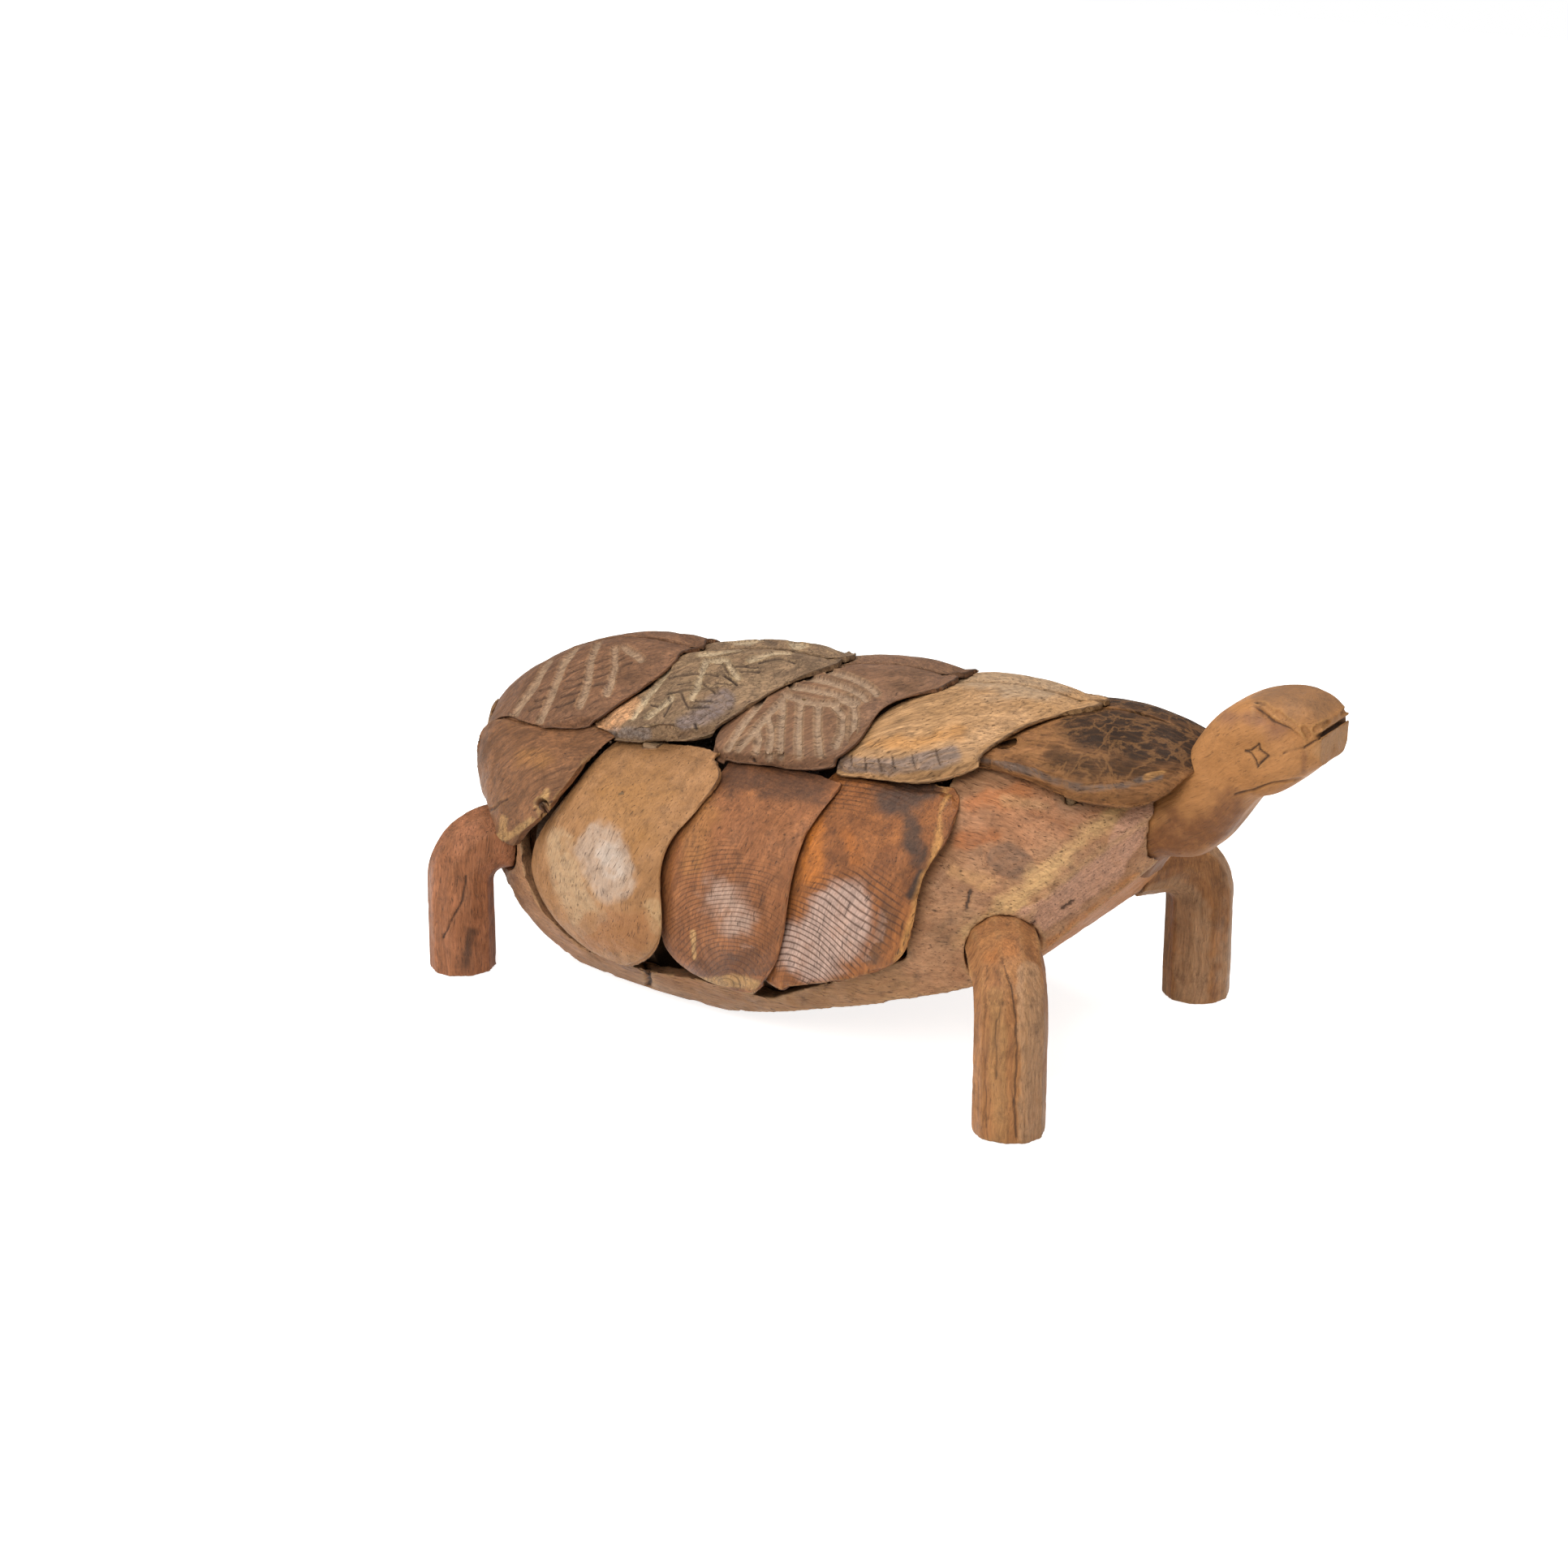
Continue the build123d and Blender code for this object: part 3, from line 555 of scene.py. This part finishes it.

# second lower scute: a tan sole-shaped plank with a pale patch of painted sheen, sunk a little into it
lowerSecond = dict(
    slot="lower_scute_wood", voxel=0.0016, smooth=30, crown=0.008, seed=22, grain=(0.35, 0.1, 0.9),
    early="b28256", late="96693f", stain="916439", worn="bd9462", ringShare=0.15, stainShare=0.5,
    grooveShare=0, grimeShare=0.45, fibreShare=0.25, waxed=0.4,
    cuts=[(32, 0.0012, [[(738, 1046), (748, 1082)]])],
    paint=[("7a5634", 0.55, 24, 16, [(770, 925), (850, 925)]),
           ("a3723c", 0.55, 50, 24, [(780, 985), (770, 1010)]),
           ("c6a883", 0.6, 18, 6, [(690, 1040), (700, 1090), (720, 1130)]),
           ("a06c42", 0.75, 26, 5, [(735, 1152), (775, 1152)]),
           ("c8a67a", 0.6, 9, 4, [(800, 1120), (806, 1150)]),
           # the pale pinkish grey patch is painted sheen: a reflection of the lights, painted into the wood's
           # colour
           ("bb9f88", 0.95, 30, 6, [(736, 1046), (748, 1082)]),
           ("cbb8a8", 0.85, 13, 6, [(742, 1050), (752, 1074)])],
    pulls=[((888, 950), (885, 928)), ((891, 966), (882, 955)), ((882, 995), (867, 992)),
           ((864, 938), (866, 914)),
           ((835, 930), (835, 920)), ((800, 921), (800, 921)), ((850, 1023), (848, 1024)),
           ((840, 975), (840, 975)),
           ((790, 960), (790, 960))], pullReach=28, hew=(0.05, 0.0014), chip=0.003)
makePair("lower_second_scute", lowerSecond)

# third lower scute: brown plank with open rings and a broken pale foot
lowerThird = dict(
    slot="lower_scute_wood", voxel=0.0016, smooth=30, crown=0.008, seed=23, grain=(0.25, 0.1, 0.95),
    early="a4693f", late="7a4a2b", stain="7f4f2f", worn="a57a4e", ringShare=0.6, ringTone="4f301e",
    ringGap=0.0042, pith=(-0.073, -0.19, 0.069), pithRun=(-0.51, 0.79, -0.34), ringBase=0.12, waxed=0.35,
    fibreShare=0.5, ringZones=[(1.0, 60, 25, [(885, 1100), (885, 1160)]),
                               (0.6, 20, 12, [(900, 955), (970, 965)])],
    paint=[("523625", 0.8, 24, 14, [(900, 958), (1000, 962)]),
           # pale pinkish grey low on the plank, under the rings, is painted sheen
           ("c0a391", 0.75, 20, 16, [(890, 1105), (905, 1135)]),
           ("4a3022", 0.6, 22, 12, [(870, 1195), (920, 1190)]),
           ("c59a64", 0.9, 9, 3, [(848, 1220), (900, 1212), (925, 1220)]),
           ("d0a36c", 0.9, 3, 1.5, [(852, 1150), (854, 1182)]),
           ("b07840", 0.5, 14, 12, [(872, 985), (850, 1060)])],
    chip=0.005)
makePair("lower_third_scute", lowerThird)

# fourth lower scute: orange heartwood, charcoal along the front, rings close together
lowerFourth = dict(
    slot="lower_scute_wood", voxel=0.0016, smooth=26, crown=0.008, seed=24, grain=(0.25, 0.1, 0.95),
    early="9f6233", late="6e3f20", stain="6b4126", worn="c0925a", ringShare=0.8, ringTone="4a2d1c",
    ringGap=0.005, pith=(0.007, -0.19, 0.064), pithRun=(-0.51, 0.79, -0.34), ringBase=0.1, stainShare=0.6,
    waxed=0.33,
    fibreShare=0.5, ringZones=[(1.0, 62, 12, [(1010, 1160), (1050, 1130)]),
                               (0.8, 24, 14, [(1040, 975), (1110, 965)])],
    paint=[("4b3c34", 0.85, 24, 10, [(1095, 985), (1150, 965)]),
           ("40342c", 0.8, 10, 7, [(1120, 1010), (1128, 1060)]),
           ("c2732e", 0.75, 10, 8, [(1002, 1025), (1000, 1080)]),
           ("b86c2e", 0.6, 9, 7, [(1045, 1030), (1050, 1060)]),
           # pale pinkish grey low on the plank, under the close rings, is painted sheen
           ("c3a596", 0.85, 44, 14, [(1005, 1165), (1040, 1135)]),
           ("54402f", 0.7, 12, 8, [(1090, 1125), (1072, 1185)]),
           ("2c211a", 0.9, 4, 3, [(1132, 1075), (1118, 1105)]),
           ("2f241c", 0.8, 3, 2, [(1138, 1045), (1134, 1062)]),
           ("c78f50", 0.85, 5, 4, [(1184, 958), (1158, 1025), (1130, 1105), (1102, 1188)])],
    pulls=[((1196, 1000), (1172, 988)), ((1180, 960), (1178, 950)), ((1150, 1040), (1150, 1040)),
           ((1100, 960), (1100, 960)), ((962, 1213), (959, 1221)), ((1010, 1207), (1010, 1213))],
           pullReach=36, chip=0.006)
makePair("lower_fourth_scute", lowerFourth)

# plank that closes the rear
tailScute = dict(
    slot="lower_scute_wood", voxel=0.002, smooth=5, seed=25, grain=(0.1, 1, 0.1),
    early="94683f", late="6a4829", stain="5c3f28", ringShare=0.4, chip=0.005)
makeMiddle("tail_scute", tailScute)

# a split block wedged under the eave of the second scute
eaveWedge = dict(
    slot="dowel_wood", voxel=0.0011, smooth=3, seed=26, grain=(1, 0, 0.2),
    early="ac8c6a", late="86684a", stain="8d7054", ringShare=0.3, hew=(0.012, 0.0006), chip=0.0015)
makePair("eave_wedge", eaveWedge)

# hull: one log, hewn outside, with pale sapwood and a fresh axe cut at the bow
hull = dict(
    slot="hull_wood", voxel=0.0032, smooth=2, seed=31, grain=(1, 0, 0),
    early="b58660", late="8e6142", stain="9b6a46", worn="bb9268", ringShare=0.25, stainShare=0.5,
    fibreShare=0.45, waxed=0.4,
    cracks=[(3.2, 0.005, [[(795, 1180), (799, 1210), (793, 1240)]]),
            (2.6, 0.0022, [[(1195, 1098), (1190, 1118)], [(1310, 1120), (1322, 1112)],
                           [(1268, 1143), (1276, 1139)]])],
    paint=[("b97e56", 0.7, 40, 20, [(1230, 1010), (1330, 1000)]),
           ("bd7443", 0.85, 12, 6, [(1195, 990), (1262, 975)]),
           ("8c6b52", 0.8, 16, 8, [(1310, 985), (1370, 980)]),
           ("a8602f", 0.8, 12, 5, [(1190, 1035), (1225, 1030)]),
           ("c0905c", 0.6, 9, 5, [(1176, 1074), (1215, 1088)]),
           ("8a5a38", 0.7, 8, 5, [(1212, 1000), (1250, 1035)]),
           ("96582e", 0.7, 7, 4, [(1275, 1000), (1318, 1020)]),
           ("d2a270", 0.6, 6, 4, [(1240, 985), (1290, 992)]),
           ("7b5c46", 0.9, 19, 3, [(1232, 1054), (1258, 1068)]),
           ("7d6044", 0.55, 16, 12, [(1170, 1150), (1200, 1140)]),
           ("d0a56f", 0.9, 13, 9, [(1385, 988), (1340, 1030), (1300, 1062), (1230, 1130), (1190, 1150)]),
           ("c49376", 1.0, 18, 3, [(1410, 996), (1372, 1062), (1316, 1108), (1256, 1146)]),
           ("c07c42", 0.95, 9, 4, [(1405, 1086), (1380, 1104), (1290, 1172)]),
           ("9c744c", 0.6, 24, 14, [(700, 1200), (890, 1250), (1100, 1215)])],
    hew=(0.05, 0.0014), chip=0.003)
makeMiddle("hull", hull)

# head and neck: one block, cut round with a gouge and rubbed smooth
headAndNeck = dict(
    slot="head_wood", voxel=0.0014, smooth=12, seed=41, grain=(0.8, 0, 0.6),
    early="b67e4a", late="98683a", stain="996638", pale="ad7c4c", worn="bb8850", ringShare=0.15,
    stainShare=0.5,
    fibreShare=0.18, bandShare=0.4, grooveShare=0.5, grimeShare=0.25, poreShare=0.4, waxed=0.45,
    ledges=[(44, 0.007, [(1540, 866), (1553, 868), (1567, 884), (1592, 896), (1608, 912)])],
    cuts=[(4.5, 0.0026, [[(1555, 868), (1564, 877)], [(1573, 878), (1583, 887)], [(1588, 889), (1597, 898)],
                         [(1607, 898), (1612, 906)], [(1622, 899), (1636, 890)]])],
    cracks=[(1.7, 0.0017, [[(1533, 926), (1541, 928), (1547, 937), (1549, 946)],
                           [(1533, 926), (1541, 925), (1548, 920), (1551, 916)],
                           [(1551, 916), (1553, 924), (1557, 927), (1562, 932)],
                           [(1562, 932), (1557, 937), (1552, 942), (1549, 946)]]),
            (1.9, 0.0017, [[(1650, 891), (1640, 899), (1627, 908), (1615, 916), (1607, 921)]]),
            (1.8, 0.0016, [[(1607, 921), (1594, 925), (1581, 929)], [(1547, 864), (1556, 866)],
                          [(1522, 980), (1542, 975), (1567, 967), (1587, 964), (1605, 960)]])],
    # dark brown along the underside of the neck is painted shade
    paint=[("6e4326", 0.85, 32, 22, [(1400, 1060), (1470, 1030), (1510, 1010)]),
           ("86603f", 0.85, 22, 10, [(1560, 850), (1625, 865)]),
           # darker brown below the brow, on the cheek, is painted shade
           ("8c6046", 0.7, 9, 8, [(1515, 885), (1545, 884), (1572, 900)]),
           ("bd8f63", 0.6, 9, 6, [(1624, 926), (1648, 906)]),
           ("7d5234", 0.6, 4, 3, [(1609, 928), (1606, 950)])],
    hew=(0.03, 0.0012), chip=0.002)
makeMiddle("head_and_neck", headAndNeck)

# front legs: planed posts, grain upright
frontLeg = dict(
    slot="leg_wood", voxel=0.002, smooth=3, seed=51, grain=(0.03, 0.02, 1),
    early="ad7646", late="835432", stain="8f5f38", worn="ad8050", ringShare=0.2, bandShare=0.7,
    fibreShare=0.55,
    poreShare=0.4,
    cracks=[(1.9, 0.0013, [[(1234, 1180), (1248, 1222), (1254, 1290), (1250, 1350), (1252, 1400)]]),
            (1.9, 0.0009, [[(1214, 1190), (1212, 1300), (1214, 1390)],
                           [(1236, 1235), (1226, 1260), (1228, 1330)]])],
    paint=[("b28a66", 0.75, 16, 3, [(1268, 1200), (1272, 1290), (1272, 1400)]),
           ("a87c4c", 0.6, 11, 4, [(1226, 1225), (1230, 1290), (1230, 1400)]),
           ("b4713a", 0.6, 11, 6, [(1222, 1178), (1240, 1168)])],
    swells=[(11, 0.003, [(1194, 1200), (1190, 1176), (1193, 1158), (1205, 1142), (1222, 1132), (1243, 1129),
                         (1263, 1135), (1278, 1148), (1284, 1164)])],
    hew=(0.03, 0.0006), chip=0.002)
makePair("front_leg", frontLeg)

# rear legs: a redder wood, with a drying crack and a dark knot
rearLeg = dict(
    slot="leg_wood", voxel=0.002, smooth=4, seed=52, grain=(0.03, 0.02, 1),
    early="a86c48", late="80502f", stain="8c5838", worn="a3704c", ringShare=0.2, bandShare=0.7,
    cracks=[(1.9, 0.0014, [[(574, 1080), (570, 1110), (556, 1135), (546, 1155)]])],
    paint=[("3a261a", 0.8, 9, 5, [(580, 1150), (574, 1190)])],
    hew=(0.03, 0.0012), chip=0.003)
makePair("rear_leg", rearLeg)

# the frame inside keeps its CAD shape: sawn planks, and split dowels
# the frame's dark wood is partly painted shade: it keeps the inside seen through the seams dark
frameLook = dict(early="5f452e", late="473220", stain="4d3724")
dowelLook = dict(early="8d6f4c", late="6f5538", stain="78603f")
frameWood = woodMaterial("sawnFrameWood", frameLook, masked=False)
dowelWood = woodMaterial("splitDowelWood", dowelLook, masked=False)
for node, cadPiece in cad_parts.items():
    if cadPiece.hide_render:
        continue
    cadPiece.data.materials.clear()
    cadPiece.data.materials.append(dowelWood if "dowel" in node or "peg" in node else frameWood)
print("stage: inner frame finished")

# pale studio sweep: bright to the camera and to reflections, and still shaded by the turtle
stage = dict(size=14, colour="e6e4e0", glow=0.82)
floorMesh = bpy.data.meshes.new("floor")
half = stage["size"] / 2
floorMesh.from_pydata([(-half, -half, 0), (half, -half, 0), (half, half, 0), (-half, half, 0)], [],
                      [(0, 1, 2, 3)])
floor = bpy.data.objects.new("floor", floorMesh)
scene.collection.objects.link(floor)
paper = bpy.data.materials.new("matPaper")
paper.use_nodes = True
tree = paper.node_tree
tree.nodes.clear()
path = addNode(tree, "ShaderNodeLightPath")
seenRays = addNode(tree, "ShaderNodeMath", {"operation": "MAXIMUM"}, {},
                   {0: (path, "Is Camera Ray"), 1: (path, "Is Glossy Ray")})
glowLevel = addNode(tree, "ShaderNodeMapRange", {}, {"To Max": stage["glow"]}, {"Value": (seenRays, 0)})
glow = addNode(tree, "ShaderNodeEmission", {}, {"Color": (1, 1, 1, 1)}, {"Strength": (glowLevel, 0)})
matt = addNode(tree, "ShaderNodeBsdfDiffuse", {}, {"Color": toLinear(stage["colour"])})
summed = addNode(tree, "ShaderNodeAddShader", {}, {}, {0: (glow, 0), 1: (matt, 0)})
addNode(tree, "ShaderNodeOutputMaterial", {}, {}, {"Surface": (summed, 0)})
floorMesh.materials.append(paper)

skyLevel = dict(ambient=0.36, backdrop=1.0)
world = bpy.data.worlds.new("studio")
scene.world = world
world.use_nodes = True
tree = world.node_tree
tree.nodes.clear()
path = addNode(tree, "ShaderNodeLightPath")
level = addNode(tree, "ShaderNodeMapRange", {},
                {"To Min": skyLevel["ambient"], "To Max": skyLevel["backdrop"]},
                {"Value": (path, "Is Camera Ray")})
sky = addNode(tree, "ShaderNodeBackground", {}, {"Color": (1, 1, 1, 1)}, {"Strength": (level, 0)})
addNode(tree, "ShaderNodeOutputWorld", {}, {}, {"Surface": (sky, 0)})

lamps = [dict(name="keySoftbox", place=(0.7, -2.8, 2.3), size=1.6, watts=68),
         dict(name="sideSoftbox", place=(-2.3, -1.7, 1.6), size=1.4, watts=30),
         dict(name="topSoftbox", place=(0.2, 0.4, 2.8), size=2.0, watts=46)]
aim = np.array((0.0, 0.0, 0.2))
for lamp in lamps:
    lampData = bpy.data.lights.new(lamp["name"], "AREA")
    lampData.size = lamp["size"]
    lampData.energy = lamp["watts"]
    softbox = bpy.data.objects.new(lamp["name"], lampData)
    softbox.location = lamp["place"]
    away = np.array(lamp["place"]) - aim
    softbox.rotation_euler = (math.atan2(math.hypot(away[0], away[1]), away[2]), 0,
                              math.atan2(away[0], -away[1]))
    scene.collection.objects.link(softbox)
scene.view_settings.view_transform = "Standard"
print("stage: studio lit")
